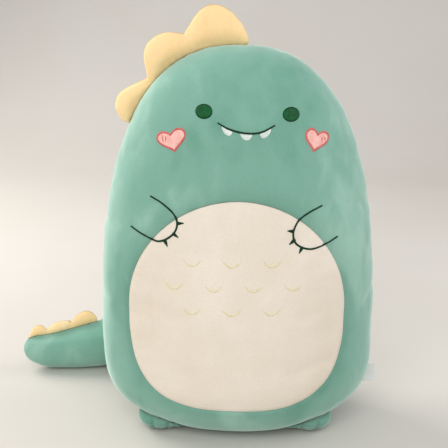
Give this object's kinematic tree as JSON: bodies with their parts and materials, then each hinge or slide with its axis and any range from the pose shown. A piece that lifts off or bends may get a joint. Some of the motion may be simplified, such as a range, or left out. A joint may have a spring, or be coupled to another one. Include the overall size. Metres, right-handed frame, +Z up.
{
  "type": "stuffed dinosaur",
  "caption": "Tall plump plush dinosaur cushion with a cream belly, embroidered face and arms, scalloped crest, small feet and a tapered tail.",
  "frame": {"origin": "centre of the flat patch under the body, on the surface it stands on", "axes": "+Z up to the crown, -Y out of the face, +X to the right as one looks at the face"},
  "size_m": [0.5394, 0.3345, 0.5789],
  "materials": {
    "green_plush": "matte",
    "cream_plush": "matte",
    "yellow_plush": "matte",
    "white_filling": "matte",
    "dark_green_thread": "satin",
    "white_felt": "matte",
    "pink_felt": "matte",
    "rose_thread": "satin",
    "pale_thread": "satin",
    "green_thread": "satin",
    "white_satin": "satin"
  },
  "bodies": {
    "body": {"front_panel": "green_plush", "belly_panel": "cream_plush", "back_panel_left": "green_plush", "back_panel_right": "green_plush", "body_stuffing": "white_filling", "closing_stitch": "green_thread", "eye_left": "dark_green_thread", "eye_right": "dark_green_thread", "mouth": "dark_green_thread", "tooth_left": "white_felt", "tooth_middle": "white_felt", "tooth_right": "white_felt", "cheek_left": "pink_felt", "cheek_right": "pink_felt", "cheek_outline_left": "rose_thread", "cheek_outline_right": "rose_thread", "arm_left": "dark_green_thread", "arm_right": "dark_green_thread", "belly_scale_1": "pale_thread", "belly_scale_2": "pale_thread", "belly_scale_3": "pale_thread", "belly_scale_4": "pale_thread", "belly_scale_5": "pale_thread", "belly_scale_6": "pale_thread", "belly_scale_7": "pale_thread", "belly_scale_8": "pale_thread", "belly_scale_9": "pale_thread", "belly_scale_10": "pale_thread"},
    "crest": {"crest_front_panel": "yellow_plush", "crest_back_panel": "yellow_plush", "crest_stuffing": "white_filling"},
    "tail": {"tail_front_panel": "green_plush", "tail_back_panel": "green_plush", "tail_stuffing": "white_filling", "tail_spikes_front_panel": "yellow_plush", "tail_spikes_back_panel": "yellow_plush", "tail_spikes_stuffing": "white_filling"},
    "foot_left": {"foot_left_upper": "green_plush", "foot_left_sole": "green_plush", "foot_left_stuffing": "white_filling"},
    "foot_right": {"foot_right_upper": "green_plush", "foot_right_sole": "green_plush", "foot_right_stuffing": "white_filling"},
    "label": {"care_label": "white_satin"}
  },
  "joints": [
    {"name": "crest_bend", "type": "hinge", "parent": "body", "child": "crest", "pos_m": [-0.0805, 0.008, 0.492], "axis": [-0.8337, 0, -0.5522], "range_deg": [-20, 20], "stiffness_Nm_per_rad": 0.3},
    {"name": "tail_swing", "type": "hinge", "parent": "body", "child": "tail", "pos_m": [0, 0.1165, 0.084], "axis": [0, 0, 1], "range_deg": [-80, 3]},
    {"name": "foot_left_drop", "type": "hinge", "parent": "body", "child": "foot_left", "pos_m": [-0.105, 0.002, 0.006], "axis": [1, 0, 0], "range_deg": [0, 20], "stiffness_Nm_per_rad": 0.3},
    {"name": "foot_right_drop", "type": "hinge", "parent": "body", "child": "foot_right", "pos_m": [0.105, 0.002, 0.006], "axis": [1, 0, 0], "range_deg": [0, 20], "stiffness_Nm_per_rad": 0.3},
    {"name": "label_flap", "type": "hinge", "parent": "body", "child": "label", "pos_m": [0.181, 0.008, 0.0615], "axis": [0.45, 0, 0.893], "range_deg": [-60, 60], "stiffness_Nm_per_rad": 0.002}
  ]
}
